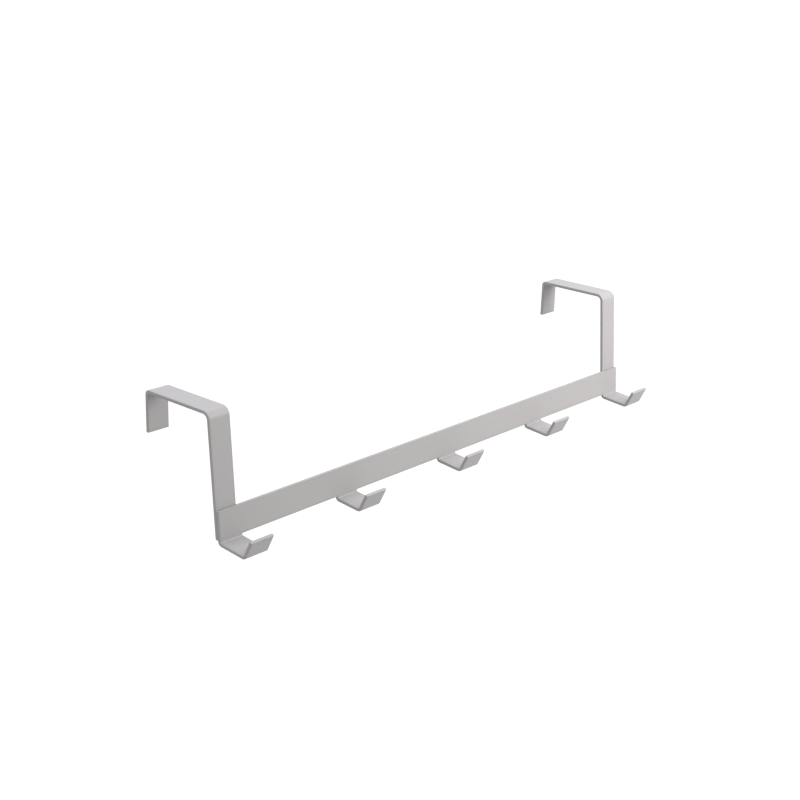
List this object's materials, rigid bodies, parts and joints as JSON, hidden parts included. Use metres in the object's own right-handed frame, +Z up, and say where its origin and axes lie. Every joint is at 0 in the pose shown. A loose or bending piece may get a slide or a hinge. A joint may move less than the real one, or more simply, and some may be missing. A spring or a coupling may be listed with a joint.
{
  "type": "over door hook",
  "caption": "Flat steel rail with upturned hooks folded out of its lower edge, hung over a door by a folded strap at each end.",
  "frame": {"origin": "middle of the rail's flat front; the door's front face lies 3.6 mm behind it", "axes": "+X along the rail to the right seen from the front, +Y into the door, +Z up"},
  "size_m": [0.35, 0.0759, 0.0762],
  "materials": {
    "painted_strip": "satin silver-grey powder coat"
  },
  "bodies": {
    "root": {"rail": "painted_strip", "strap_left": "painted_strip", "strap_right": "painted_strip"}
  },
  "joints": []
}
